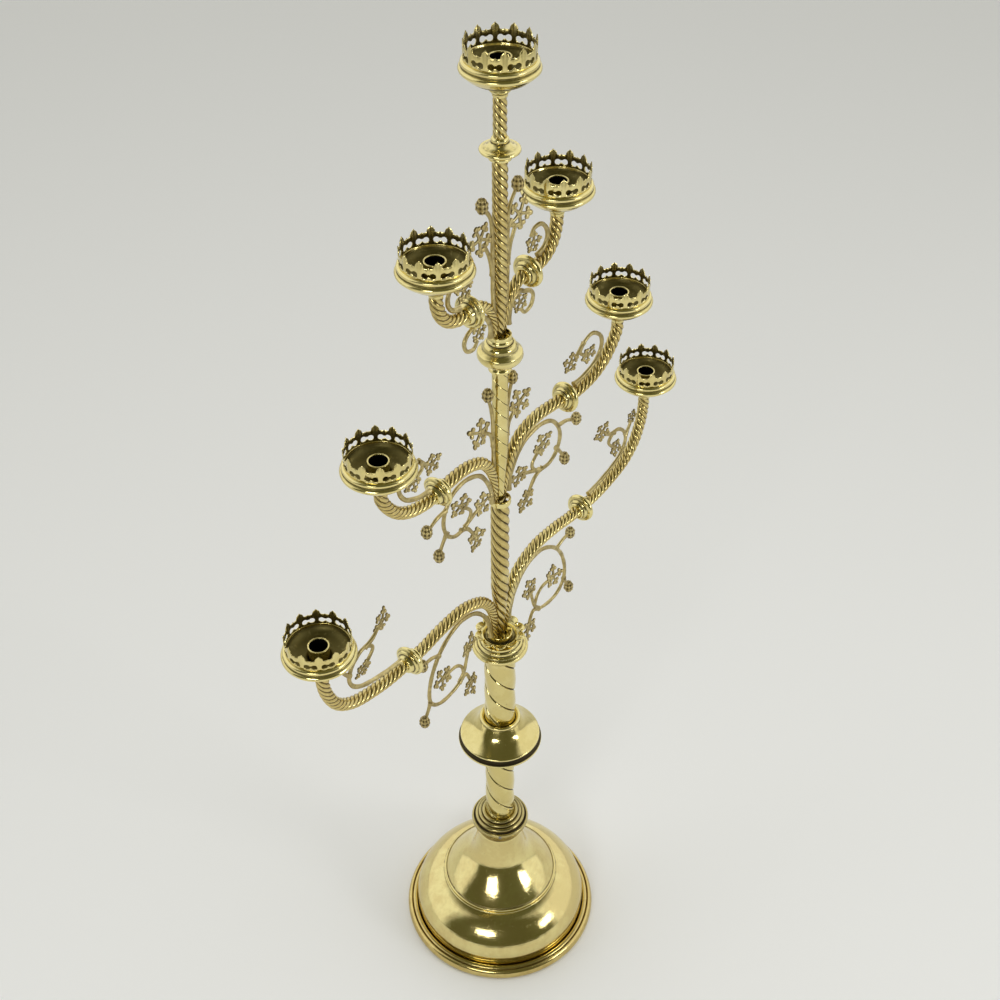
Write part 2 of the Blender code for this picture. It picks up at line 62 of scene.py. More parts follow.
# The cast leafwork and the arms, as in the solids. The arms were bent by hand: each one's reach
# and swing come from where its cup stands in the frame, and stretch its tier's nominal shape.
TIERS = {
    "low": {
        "reach": 253.0,
        "root_radius": 2.6,
        "line": [
            (8.5, 462.4), (9.5, 484.4), (13, 502.4), (20, 518.4), (34, 532.4), (60, 542.4), (92, 542.4),
            (118, 538.9), (140, 537.9), (165, 537.9), (190, 541.4), (218, 549.4), (238, 564.4),
            (249, 585.4), (253, 604.4),
        ],
        "knop": 140,
        "inner_rods": [
            [(15, 470.4), (18, 488.4), (27, 508.4), (44, 524.4), (68, 528.4), (90, 517.4), (106, 497.4),
             (114, 471.4), (111, 452.4), (97, 441.9), (76, 442.4), (62, 450.4), (63, 464.4), (73, 473.4),
             (90, 473.4)],
            [(66, 447.4), (59, 458.4), (52, 482.4)],
            [(68, 445.4), (57, 449.4), (49, 432.4)],
            [(97, 509.4), (108, 514.4), (118, 515.4)],
            [(113, 456.4), (117, 447.4), (121, 440.4)],
        ],
        "inner_leaves": [(93, 473.4, 0, 15), (51, 486.4, 110, 15), (49, 428.4, 260, 15)],
        "inner_buds": [(122, 515.4), (123, 436.4)],
        "outer_rods": [
            [(153, 547.9), (180, 552.4), (204, 559.4), (217, 569.4), (221, 581.4), (216, 593.4),
             (205, 602.4), (195, 602.4), (188, 594.4), (199, 581.4)],
            [(198, 602.4), (187, 606.4), (177, 615.4)],
            [(220, 584.4), (226, 592.4), (230, 599.4)],
        ],
        "outer_leaves": [(174, 617.4, 120, 14), (202, 579.4, 330, 12), (231, 603.4, 70, 9)],
    },
    "mid": {
        "reach": 167.5,
        "root_radius": 2.0,
        "line": [
            (6.3, 640.4), (7.4, 660.4), (11.5, 678.4), (19, 694.4), (31, 706.4), (52, 713.4), (77, 713.4),
            (92, 712.4), (108, 710.4), (130, 714.9), (147, 724.4), (159, 737.4), (166, 749.4),
            (167.5, 755.4),
        ],
        "knop": 92,
        "inner_rods": [
            [(12.4, 647.4), (14, 661.4), (20, 676.4), (32, 691.9), (52, 699.4), (70, 696.4), (81, 685.4),
             (86, 670.4), (82, 654.4), (71, 644.4), (58, 644.4), (48, 650.4), (46, 659.4), (57, 671.4)],
            [(55, 645.4), (44, 649.9), (31, 654.4)],
            [(61, 644.9), (50, 639.4), (39, 622.4)],
            [(82, 683.4), (95, 682.4), (106, 677.4)],
            [(81, 657.4), (88, 647.4), (92, 640.4)],
        ],
        "inner_leaves": [(60, 674.4, 40, 15), (27, 655.4, 170, 14), (37, 618.4, 240, 15)],
        "inner_buds": [(110, 676.4), (94, 636.4)],
        "outer_rods": [
            [(104, 720.4), (120, 723.4), (136, 731.4), (144, 744.4), (142, 757.4), (130, 766.4),
             (119, 763.4), (112, 753.4), (121, 745.4)],
            [(117, 762.4), (111, 756.4), (106, 751.4)],
        ],
        "outer_leaves": [(99, 748.4, 160, 13), (125, 744.4, 340, 12)],
    },
    "top": {
        "reach": 83.2,
        "root_radius": 2.0,
        "line": [
            (6.3, 828.9), (7.2, 844.4), (11, 856.4), (18, 867.4), (28, 873.9), (41, 875.4), (56, 875.9),
            (69, 880.9), (78, 890.4), (82, 900.4), (83.2, 906.4),
        ],
        "knop": 41,
        "inner_rods": [
            [(12.8, 835.4), (14, 847.4), (19, 857.4), (28, 861.4), (36, 857.4), (44, 854.4), (49, 847.4),
             (46, 838.4), (37, 835.4), (31, 841.4)],
        ],
        "inner_leaves": [(29, 849.4, 100, 11)],
        "inner_buds": [],
        "outer_rods": [
            [(54, 884.9), (64, 888.9), (69, 897.4), (67, 906.4), (59, 913.9), (49, 913.9), (44, 907.4)],
        ],
        "outer_leaves": [(48, 900.4, 300, 12)],
    },
}
STEM_SPRIGS = {
    "mid": {
        "rods": [
            [(9.4, 678.4), (9.8, 694.4), (10.4, 722.4), (11, 742.4), (13, 756.4), (17, 770.4)],
            [(10.4, 714.4), (14, 728.4), (24, 737.4)],
        ],
        "leaves": [(29, 740.4, 30, 17)],
        "buds": [(18, 775.4)],
    },
    "high": {
        "rods": [
            [(9.0, 856.4), (9.6, 874.4), (10.2, 906.4), (10.6, 934.4), (13, 950.4), (21, 962.4)],
            [(10.6, 896.4), (14, 913.4), (22, 930.4)],
        ],
        "leaves": [(27, 937.4, 60, 17)],
        "buds": [(24, 966.4)],
    },
}

# Turned pieces from the floor up.
SHEET = 1.4  # wall of the spun foot
RIM = [
    (100.4, 0, 0.5), (108.6, 0), (111.6, 1.2), (112.6, 4.0), (112.0, 7.8), (110.2, 10.8),
    (108.0, 12.0, 0.7), (106.8, 10.2, 0.6), (105.6, 12.2, 0.8), (102.8, 13.2), (100.4, 11.4),
]
DOME = [
    (100, 1), (100, 14), (100, 27.5), (99, 33), (96.9, 38.5), (93.6, 44.3), (89.3, 49.8),
    (84.3, 55), (78.9, 59.5), (73.5, 63), (68.6, 65.0), (67.0, 65.3, 0.4), (66.7, 66.2, 0.4),
    (65.4, 66.5, 0.3), (61, 66.4),
]
BELL = [
    (64.0, 66.9, 0.2), (65.2, 67.0, 0.4), (65.9, 68.0, 0.5), (65.5, 69.2, 0.5), (64.7, 69.6, 0.3),
    (64.2, 69.1, 0.2), (63.7, 69.5, 0.3), (61.5, 72.9), (54.5, 81.9), (47.5, 89.9), (41.5, 96.2),
    (36.8, 101.9), (33.4, 107.4), (31, 113.4), (29, 120.9), (27.2, 129.4), (26, 137.9),
    (25.5, 147),
]
FOOT_COLLAR = [
    (17.6, 134.4), (18.9, 146.4, 0.3), (25.8, 146.7, 0.3), (27.4, 152.6), (30.0, 157.4),
    (32.2, 160.7, 0.7), (32.7, 163.5, 0.8), (32.1, 166.1, 0.6), (30.6, 166.6, 0.4),
    (29.5, 165.6, 0.4), (28.6, 166.6, 0.4), (28.3, 169.6, 0.7), (26.5, 171.0, 0.5),
    (24.9, 170.5, 0.3), (24.6, 172.6, 0.5), (23.2, 173.8, 0.5), (20.9, 173.2, 0.3),
    (20.5, 175.2, 0.5), (19.0, 176.5, 0.5), (17.2, 176.2, 0.3), (16.2, 174.4, 0.2),
    (15.9, 136), (17.6, 134.4),
]
COLUMN_KNOP = [
    (16.0, 288.2, 0.2), (19.8, 288.2, 0.5), (21.4, 289.6, 0.6), (21.8, 291.8, 0.6),
    (20.8, 293.8, 0.5), (22.6, 295.0, 0.5), (36, 298.6), (44.0, 300.6, 0.5), (45.3, 301.5, 0.5),
    (45.6, 303.2, 0.5), (44.9, 304.6, 0.4), (43.6, 305.0, 0.3), (42.4, 305.8, 0.3),
    (42.3, 308.8, 0.3), (43.4, 309.8, 0.3), (43.2, 311.2, 0.4), (42.0, 312.2, 0.4),
    (38, 315.2), (32, 320.2), (27, 325.4), (23.9, 330.7), (22.0, 333.6, 0.5), (21.4, 334.5, 0.3),
    (22.1, 335.3, 0.4), (22.0, 337.0, 0.6), (20.6, 338.1, 0.7), (19.1, 337.6, 0.5),
    (18.3, 336.6, 0.3), (17.0, 335.6, 0.2), (16.0, 334, 0.2), (16.0, 296, 0.2),
]
ARM_COLLAR = [
    (16.2, 436, 0.2), (18.8, 436, 0.4), (19.4, 438, 0.5), (20.6, 439.7, 0.6), (26.2, 441.6),
    (28.7, 443.2, 0.5), (29.4, 445.4, 0.6), (28.7, 447.8, 0.6), (26.9, 448.6, 0.4),
    (26.4, 450, 0.4), (23.6, 451, 0.4), (23.2, 453.6, 0.5), (20.9, 454.8, 0.4),
    (20.5, 457.1, 0.3), (4, 457.1, 0.2), (4, 444.4, 0.2), (16.2, 444.4, 0.2),
]
PETAL_CUP = [
    (3.5, 457.3, 0.1), (16.5, 457.3), (19.8, 458.6), (25.8, 464, 0.6), (26.4, 465.8, 0.4),
    (25.2, 466.3, 0.4), (20.2, 462.7), (18.6, 463.3, 0.4), (17.6, 462.8, 0.4), (15.4, 460.2),
    (13.2, 460, 0.4), (13.0, 465.6, 0.4), (12.3, 466.3, 0.4), (11.7, 465.6, 0.3),
    (11.6, 459.4, 0.2), (3.5, 459.4, 0.1),
]
PETALS, PETAL_DEPTH, PETAL_ROOT, PETAL_RISE = 10, 0.17, 19.4, 3.0
MID_KNOP = [
    (5, 793.4, 0.1), (9.4, 793.4, 0.4), (10.7, 794.5, 0.5), (10.8, 796.6, 0.5),
    (9.8, 798.2, 0.4), (9.1, 799.4, 0.6), (10.4, 801.2), (16.6, 803.9), (20.1, 807.3),
    (21.0, 811.0, 1.5), (20.2, 814.6, 0.7), (18.0, 816.1, 0.5), (15.8, 817.6, 0.5),
    (15.0, 821.0, 0.8), (13.6, 823.2, 0.5), (11.5, 824.0, 0.4), (11.6, 826.6, 0.4),
    (10.6, 828.2, 0.4), (10.4, 832.0, 0.4), (9.0, 832.4, 0.3), (8.9, 828, 0.2), (5, 827.8, 0.1),
]
HIGH_KNOP = [
    (5, 998.2, 0.1), (8.6, 998.2, 0.3), (9.7, 999.3, 0.4), (9.7, 1001.3, 0.4), (8.8, 1002.4, 0.4),
    (9.8, 1003.0, 0.4), (12.4, 1003.2, 0.4), (13.0, 1004.4, 0.4), (15.4, 1004.9, 0.5),
    (17.1, 1006.1, 0.9), (17.3, 1007.9, 0.9), (16.0, 1009.2, 0.7), (13.6, 1009.2, 0.7),
    (11.0, 1010.4), (8.8, 1012.8), (7.1, 1014.0, 0.4), (7.5, 1015.2, 0.4), (7.3, 1016.9, 0.5),
    (6.3, 1018.1, 0.3), (5, 1018.2, 0.1),
]
ARM_KNOP = [
    (5.5, -9.2, 0.1), (8.2, -8.8, 0.4), (8.8, -7.4, 0.4), (8.2, -6.2, 0.4), (10.4, -5.0, 0.6),
    (11.2, -3.6, 0.4), (14.4, -2.7, 0.7), (15.7, -0.6, 0.9), (15.3, 1.3, 0.5), (13.0, 2.0, 0.4),
    (12.4, 3.6, 0.5), (9.9, 4.3, 0.4), (9.3, 6.2, 0.4), (8.8, 7.8, 0.4), (7.4, 8.4, 0.3),
    (5.5, 8.4, 0.1),
]

# A candle cup, heights measured down from its gallery's tips.
CUP_DROP = 48.0
PAN = [
    (0, -48), (6.0, -48, 0.3), (6.5, -46.6, 0.5), (6.6, -44.6, 0.5), (8.2, -43.6, 0.6),
    (9.0, -42.4, 0.5), (8.6, -40.9, 0.5), (8.9, -39.6, 0.6), (13, -38.2), (19.5, -35.6),
    (25.4, -32.2), (29.6, -28.6), (31.3, -26.6, 0.6), (32.6, -25.6, 0.5), (32.8, -23.8, 0.7),
    (31.9, -22.4, 0.5), (30.9, -22.0, 0.3), (30.5, -21.1, 0.3), (31.0, -20.2, 0.4),
    (31.0, -18.4, 0.6), (30.0, -17.4, 0.4), (29.1, -17.0, 0.2), (27.9, -17.1, 0.2), (27.4, -18.8),
    (26.4, -21.4), (23.6, -24.0), (19, -25.6), (9.0, -26.2), (9.0, -37, 0.1), (0, -37),
]
SOCKET = [
    (0, -36.6), (9.2, -36.6, 0.1), (9.2, -17.0, 0.3), (9.7, -16.3, 0.3), (9.6, -15.4, 0.4),
    (8.9, -15.1, 0.3), (8.1, -15.4, 0.3), (8.0, -16.4, 0.3), (8.0, -36, 0.1), (0, -36),
]
GALLERY_RADIUS, GALLERY_WALL, GALLERY_TIPS = 28.9, 0.9, 12
GALLERY_FOOT, GALLERY_VALLEY, GALLERY_SLOT = -17.2, -5.3, -12.8
FLAME_HALF_WIDTH = 3.5
HOLE_RADIUS, HOLE_OFFSET, JOINT_ABOVE, JOINT_BELOW = 2.65, 3.2, 1.5, 1.0

# Twists. Each is left-handed: (ridges round the bar, millimetres along it for one whole turn).
ROPE_LOW_TWIST, ROPE_HIGH_TWIST, ROPE_TOP_TWIST, ARM_TWIST = (5, 57), (5, 37), (5, 35), (5, 31)
LINE_TWIST, GROOVE_TWIST = (3, 46), (3, 98)
ROPE_DEPTH, ARM_ROPE_DEPTH = 0.15, 0.17  # of a bar's radius

# Columns: (node, radius, bottom, top, smooth length at the foot, the same at the head, turn of the
# grooves in radians).
COLUMNS = (
    ("column_low", 16.4, 166.7, 296.6, 14, 14, -0.19),
    ("column_high", 16.8, 325.7, 444.1, 14, 12, 0.3),
)
GROOVE_DEPTH, GROOVE_HALF_WIDTH, COLUMN_BULGE, GROOVE_RUN_OUT = 1.5, 1.9, 0.8, 4

# Rope tubes of the stem: (node, heights, the radius at each, twist).
ROPES = (
    ("rope_low", (459.5, 482.4, 504.4, 528.4, 632.4, 638.8), (5.1, 5.4, 7.2, 9.2, 9.3, 8.4),
     ROPE_LOW_TWIST),
    ("rope_high", (828.2, 844.4, 857.4, 874.4, 1002.1), (3.9, 4.2, 5.6, 6.7, 6.7), ROPE_HIGH_TWIST),
    ("rope_top", (1012.7, 1048.4, 1051.7), (5.9, 5.9, 5.5), ROPE_TOP_TWIST),
)
MID_STEM_HEIGHTS = (639.1, 658.4, 677.4, 702.4, 796.1)
MID_STEM_RADII = (3.9, 4.1, 5.6, 7.4, 7.4)
LINE_DEPTH, LINE_HALF_WIDTH = 0.4, 0.7
BINDING_RING = [(8.9, 639.4, 0.4), (10.6, 639.4, 0.9), (10.6, 645.4, 0.9), (8.9, 645.4, 0.4)]

# The set screw: its direction, its height, and its (distance from the stem's axis, radius) outwards.
SCREW_ANGLE, SCREW_HEIGHT = 217.5, 163.6
SCREW = ((30.5, 1.7), (32.9, 1.7), (33.3, 1.4), (33.32, 0.2))

ARM_RADIUS = 6.1
ROOT_LENGTH, TAPER_LENGTH, ROOT_REACH = 6.0, 50.0, 25.0
SPIGOT_RADIUS, THREAD_DEPTH, SPIGOT_RINGS = 2.85, 0.15, 19
MAIN_ROD, SIDE_ROD, ROD_TIP, ROD_FLATNESS = 2.4, 2.1, 1.8, 0.82
BUD_RADIUS, BUD_LENGTH = 5.1, 1.42  # the length is in radii

# Dark marks added on top of what an outline's hollows hold: dirt, soot and patina, and black painted shade
# where the column goes into its knop.
BLACK, GRIMY, NO_DIRT = 1.3, 1.05, -1

# Looks of old brass: (slot, material, clean metal, its warmer tarnish, grime that also serves as painted
# shade, least and greatest roughness, how much of the surface is toned).
CLEAN, WARM = (0.80, 0.70, 0.32), (0.60, 0.47, 0.15)
BRASSES = {
    "polished": ("polished_brass", "polished_brass", CLEAN, WARM, (0.07, 0.055, 0.03),
                 (0.09, 0.17), 0.45),
    "spun": ("polished_brass", "spun_brass", CLEAN, (0.62, 0.47, 0.19), (0.10, 0.07, 0.03),
             (0.09, 0.16), 0.5),
    "twisted": ("polished_brass", "twisted_brass", (0.76, 0.64, 0.28), (0.54, 0.41, 0.14),
                (0.09, 0.065, 0.03), (0.14, 0.28), 0.8),
    "rim": ("polished_brass", "rim_brass", (0.70, 0.57, 0.23), (0.50, 0.36, 0.12),
            (0.08, 0.055, 0.03), (0.12, 0.24), 0.8),
    "pan": ("polished_brass", "pan_brass", CLEAN, WARM, (0.19, 0.16, 0.055), (0.1, 0.2), 0.45),
    "sooty": ("polished_brass", "sooty_brass", CLEAN, WARM, (0.02, 0.018, 0.015), (0.2, 0.35), 0.5),
    "cast": ("aged_brass", "aged_brass", (0.66, 0.55, 0.26), (0.46, 0.36, 0.15),
             (0.13, 0.10, 0.045), (0.24, 0.42), 0.8),
    "patina": ("patinated_brass", "patinated_brass", (0.56, 0.48, 0.21), (0.32, 0.25, 0.10),
               (0.05, 0.04, 0.025), (0.14, 0.3), 0.85),
}

# The studio, in metres. The world is dark on the camera's side and straight overhead: each pair is
# the cosine at which it is fully dark and the one at which it is fully bright.
FROM_CAMERA = (0.7944, 0.6074, 0)  # level, from the camera to the stem
DARK_SIDE, DARK_OVERHEAD = (-0.42, -0.26), (0.92, 0.72)
WORLD_DARK, WORLD_BRIGHT = (0.12, 0.12, 0.06, 1), (1.0, 1.0, 0.98, 1)
FLOOR_HALF_SIDE = 30.0
LAMP_TARGET = Vector((0, 0, 0.6))
# Lamps: (name, place, size, watts, whether reflections show it).
LAMPS = (
    ("softbox_left", (-2.46, -0.83, 1.6), (1.05, 0.5), 15, True),
    ("softbox_right", (0.49, -2.72, 1.26), (0.85, 0.5), 13, True),
    ("overhead", (0, 0, 3.2), (2.5, 2.5), 22, False),
)
CAMERA_DISTANCE, CAMERA_HEIGHT, CAMERA_LENS = 1.0809, 1.5541, 53.405
CAMERA_AZIMUTH, CAMERA_PITCH = math.radians(-52.6), math.radians(40.157)


class Plane:
    """The upright plane of one arm: where a (distance, height) of it lies in the frame."""

    def __init__(self, angle, stretch=1.0):
        self.out = np.array((math.cos(angle), math.sin(angle), 0.0))
        self.across = np.array((-math.sin(angle), math.cos(angle), 0.0))
        self.stretch = stretch

    def at(self, points):
        points = np.atleast_2d(np.array(points, float))
        return points[:, :1] * self.stretch * self.out + points[:, 1:2] * UP


class Skin:
    """Points in millimetres, faces, and each point's mark of dirt and painted shade: 1 deep in a hollow, -1
    on a worn edge that also gets a painted highlight.
    """

    def __init__(self):
        self.points, self.dirt, self.faces = [], [], []
        self.count = 0

    def add(self, points, dirt, faces):
        points = np.asarray(points, float).reshape(-1, 3)
        self.points.append(points)
        self.dirt.append(np.asarray(dirt, float).reshape(-1))
        self.faces += (np.asarray(faces) + self.count).tolist() if len(faces) else []
        self.count += len(points)

    def net(self, points, dirt, loop=False, caps=False):
        """Quads through points[row, column]. Each row is closed, loop joins the last row to the
        first, and caps close both ends."""
        rows, columns = points.shape[:2]
        index = np.arange(rows * columns).reshape(rows, columns)
        ends = [index[0, ::-1] + self.count, index[-1] + self.count] if caps else []
        index = np.column_stack([index, index[:, 0]])
        if loop:
            index = np.vstack([index, index[:1]])
        quads = np.stack([index[:-1, :-1], index[:-1, 1:], index[1:, 1:], index[1:, :-1]], -1)
        self.add(points, np.broadcast_to(dirt, (rows, columns)), quads.reshape(-1, 4))
        self.faces += [end.tolist() for end in ends]


def rounded(outline, steps=5, closed=False):
    """The outline with every corner turned into a short curve."""
    points = [np.array(p[:2], float) for p in outline]
    limits = [p[2] if len(p) > 2 else math.inf for p in outline]
    count = len(points)
    result = []
    for i, (here, limit) in enumerate(zip(points, limits)):
        if not closed and i in (0, count - 1):
            result.append(here)
            continue
        before, after = points[i - 1], points[(i + 1) % count]
        to_before, to_after = before - here, after - here
        lengths = np.linalg.norm(to_before), np.linalg.norm(to_after)
        start = here + to_before * min(limit / lengths[0], 0.5)
        end = here + to_after * min(limit / lengths[1], 0.5)
        for t in np.linspace(0, 1, steps):
            result.append((1 - t) ** 2 * start + 2 * t * (1 - t) * here + t**2 * end)
    kept = [result[0]]
    for point in result[1:]:
        if np.linalg.norm(point - kept[-1]) > 0.02:
            kept.append(point)
    if closed and np.linalg.norm(kept[-1] - kept[0]) <= 0.02:
        kept.pop()
    return np.array(kept)


def hollows(outline, closed, spread=1.6, depth=0.45):
    """How far each point of an outline lies in a hollow (towards 1) or on a ridge (towards -1)."""
    ahead, behind = np.roll(outline, -1, 0), np.roll(outline, 1, 0)
    if not closed:
        ahead[-1], behind[0] = outline[-1], outline[0]
    step = np.linalg.norm(ahead - outline, axis=1)
    along = np.concatenate([[0], np.cumsum(step[:-1])])
    apart = np.abs(along[:, None] - along[None])
    if closed:
        apart = np.minimum(apart, step.sum() - apart)
    weight = np.exp(-((apart / spread) ** 2) / 2)
    weight *= (step + np.linalg.norm(outline - behind, axis=1))[None] + 1e-6
    middle = weight @ outline / weight.sum(1, keepdims=True)
    tangent = ahead - behind
    outward = np.stack([tangent[:, 1], -tangent[:, 0]], 1)
    outward /= np.linalg.norm(outward, axis=1, keepdims=True) + 1e-9
    return np.clip(((middle - outline) * outward).sum(1) / depth, -1, 1)


def turn(skin, outline, segments, closed=False, swell=None, put=None, extra_dirt=None):
    """Turns an outline round Z. swell scales each radius, put moves the points into the frame, and
    extra_dirt gives the least dirt and painted shade at each point of the outline."""
    shape = rounded(outline, closed=closed)
    angles = np.arange(segments) * TAU / segments
    radius = np.repeat(shape[:, :1], segments, 1)
    if swell:
        radius = radius * swell(angles[None], radius)
    height = np.repeat(shape[:, 1:], segments, 1)
    points = np.stack([radius * np.cos(angles), radius * np.sin(angles), height], -1)
    # Hollows of the outline get dirt and painted shade, its ridges wear and a painted highlight.
    dirt = hollows(shape, closed)
    if extra_dirt:
        dirt = np.maximum(dirt, extra_dirt(shape))
    skin.net(put(points) if put else points, dirt[:, None], loop=closed)


def shell(outside):
    """The closed outline of a spun sheet: its outside, then back along its inside."""
    outside = rounded(outside, steps=4)
    along = np.gradient(outside, axis=0)
    along /= np.linalg.norm(along, axis=1, keepdims=True)
    inside = outside + np.stack([-along[:, 1], along[:, 0]], 1) * SHEET
    return [(*p, 0.05) for p in np.vstack([outside, inside[::-1]])]


def curve(points, step):
    """Evenly spaced points on the Catmull-Rom curve through the given ones, all columns alike."""
    p = np.array(points, float)
    ends = np.vstack([2 * p[0] - p[1], p, 2 * p[-1] - p[-2]])
    t = np.linspace(0, 1, 12, endpoint=False)[:, None]
    pieces = [
        0.5 * (2 * b + (c - a) * t + (2 * a - 5 * b + 4 * c - d) * t**2
               + (3 * b - a - 3 * c + d) * t**3)
        for a, b, c, d in zip(ends, ends[1:], ends[2:], ends[3:])
    ]
    dense = np.vstack([*pieces, p[-1:]])
    along = lengths_along(dense)
    want = np.linspace(0, along[-1], max(2, round(along[-1] / step) + 1))
    return np.column_stack([np.interp(want, along, column) for column in dense.T])


def lengths_along(line):
    return np.concatenate([[0], np.cumsum(np.linalg.norm(np.diff(line, axis=0), axis=1))])


def sweep(skin, line, radii, across, ring, lead=0.0, fade=None, squash=1.0):
    """A bar along a line. ring is (angles, radius factors, dirt and painted shade) round it; its ridges
    make one left-handed turn in each lead. fade, 0 to 1 along the line, flattens them."""
    angles, factors, dirt = ring
    along = np.gradient(line, axis=0)
    along /= np.linalg.norm(along, axis=1, keepdims=True)
    side = np.cross(across, along)
    side /= np.linalg.norm(side, axis=1, keepdims=True)
    theta = np.repeat(angles[None], len(line), 0)
    if lead:
        theta = theta - TAU * lengths_along(line)[:, None] / lead
    fade = np.ones(len(line)) if fade is None else fade
    radius = radii[:, None] * (1 + (factors[None] - 1) * fade[:, None])
    points = (
        line[:, None]
        + side[:, None] * (radius * np.cos(theta))[..., None]
        + across * (radius * np.sin(theta) * squash)[..., None]
    )
    skin.net(points, dirt[None] * fade[:, None], caps=True)


def plain_ring(sides):
    return np.arange(sides) * TAU / sides, np.ones(sides), np.zeros(sides)


def rope_ring(strands, depth, per_strand=10):
    """Rounded strands with sharp valleys between them. The valleys get dirt and painted shade, and each
    crest a thin painted highlight.
    """
    angles = np.arange(strands * per_strand) * TAU / (strands * per_strand)
    crest = np.abs(np.cos(strands * angles / 2))
    # Painted shade with dirt in the valleys, a painted highlight along the crests.
    dirt = 1.25 * (1 - crest) ** 2.2 - 0.5 * crest**8
    return angles, 1 - depth * (1 - crest), dirt


def grooved_ring(radius, grooves, depth, half_width, bulge=0.0):
    """A round bar with narrow grooves, and points gathered round them."""
    spacing = TAU * radius / grooves
    near = np.array([0, 0.25, 0.5, 0.75, 1.0, 1.3, 1.7]) * half_width
    far = np.linspace(near[-1], spacing / 2, 7)[1:-1]
    one_side = np.concatenate([near, far])
    offsets = np.concatenate([-one_side[:0:-1], one_side, [spacing / 2]])
    cut = np.exp(-((offsets / (0.62 * half_width)) ** 2))
    rib = bulge * np.cos(math.pi * offsets / spacing) ** 2
    lip = 0.16 * depth * np.exp(-(((np.abs(offsets) - 1.25 * half_width) / (0.4 * half_width)) ** 2))
    factors = 1 - (depth * cut + rib - lip) / radius
    # Dirt and painted shade in the grooves, a painted highlight on the lips beside them.
    dirt = 1.2 * cut - 4 * lip / depth
    angles = np.concatenate([offsets / radius + TAU * k / grooves for k in range(grooves)])
    return angles, np.tile(factors, grooves), np.tile(dirt, grooves)


def upright(bottom, top, step=1.0):
    heights = np.linspace(bottom, top, max(2, round((top - bottom) / step) + 1))
    return np.column_stack([0 * heights, 0 * heights, heights])


def smooth_union(distances, blend):
    """Signed distances of several shapes run together, with fillets as wide as blend."""
    result = distances[0]
    for other in distances[1:]:
        h = np.clip(0.5 + 0.5 * (result - other) / blend, 0, 1)
        result = result * (1 - h) + other * h - blend * h * (1 - h)
    return result


def to_segment(x, y, end):
    """Distance from points to the segment between the origin and its end."""
    share = np.clip((x * end[0] + y * end[1]) / (end[0] ** 2 + end[1] ** 2), 0, 1)
    return np.hypot(x - share * end[0], y - share * end[1])


def leaf_branches(size):
    """The five branches of one leaf: (direction, reach), none quite like the next."""
    return [
        (TAU * k / 5 + chance.uniform(-0.1, 0.1), size * (1 if k == 0 else chance.uniform(0.8, 0.95)))
        for k in range(5)
    ]


def leaf_distance(x, y, size, branches):
    """Signed distance to a vine leaf's edge: each branch has a slim neck and ends in three knobs."""
    shapes = [np.hypot(x, y) - 0.2 * size]
    for angle, reach in branches:
        c, s = math.cos(angle), math.sin(angle)
        shapes.append(to_segment(x, y, (0.7 * reach * c, 0.7 * reach * s)) - 0.09 * size)
        for forward, aside, radius in ((0.87, 0, 0.15), (0.65, 0.2, 0.135), (0.65, -0.2, 0.135)):
            f, a = forward * reach, aside * size
            shapes.append(np.hypot(x - f * c + a * s, y - f * s - a * c) - radius * size)
    return smooth_union(shapes, 0.05 * size)


def add_leaf(skin, plane, rho, z, heading, size):
    """One cast leaf, thickest along the middle of its lobes, a little bent."""
    branches = leaf_branches(size)
    spacing, half_thickness, roundness = 0.62, 1.35, 1.7
    reach = int(size * 1.15 / spacing)
    ticks = np.arange(-reach, reach + 1) * spacing
    x, y = np.meshgrid(ticks, ticks, indexing="ij")
    inside = leaf_distance(x, y, size, branches) < 0
    cells = inside[:-1, :-1] | inside[1:, :-1] | inside[1:, 1:] | inside[:-1, 1:]
    for _ in range(3):
        here = leaf_distance(x, y, size, branches)
        slope_x = (leaf_distance(x + 0.05, y, size, branches) - here) / 0.05
        slope_y = (leaf_distance(x, y + 0.05, size, branches) - here) / 0.05
        steep = np.maximum(slope_x**2 + slope_y**2, 0.2)
        x = np.where(inside, x, x - here * slope_x / steep)
        y = np.where(inside, y, y - here * slope_y / steep)
    deep = np.where(inside, -leaf_distance(x, y, size, branches), 0).clip(0)
    vein = np.min([
        to_segment(x, y, (0.8 * r * math.cos(a), 0.8 * r * math.sin(a))) for a, r in branches
    ], axis=0)
    crease = np.exp(-((vein / 0.45) ** 2)) * (deep > 0.3)
    bulge = np.sqrt(1 - (1 - np.minimum(deep / roundness, 1)) ** 2)
    thick = half_thickness * bulge - 0.45 * crease
    tips = np.clip(np.hypot(x, y) / size - 0.55, 0, 1)
    # Dirt and painted shade in the veins' creases; darker also along the edges and towards the tips.
    dirt = 0.8 * crease + 0.9 * np.exp(-deep / 0.35) + 0.4 * tips
    bend, lean = chance.uniform(-0.012, 0.012), chance.uniform(-0.16, 0.16)
    tilt = bend * (x**2 - 0.5 * y**2) + lean * y
    angle = math.radians(heading)
    flat_x = x * math.cos(angle) - y * math.sin(angle)
    flat_z = x * math.sin(angle) + y * math.cos(angle)
    centre = plane.at((rho, z))[0]
    middle = centre + flat_x[..., None] * plane.out + flat_z[..., None] * UP
    number = np.arange(x.size).reshape(x.shape)
    corners = np.stack([number[:-1, :-1], number[1:, :-1], number[1:, 1:], number[:-1, 1:]], -1)
    corners = corners[cells]
    used = np.unique(corners)
    renumber = np.zeros(x.size, int)
    renumber[used] = np.arange(len(used))
    for sign, order in ((1, slice(None)), (-1, slice(None, None, -1))):
        points = middle + (tilt + sign * thick)[..., None] * plane.across
        skin.add(points.reshape(-1, 3)[used], dirt.reshape(-1)[used], renumber[corners][:, order])


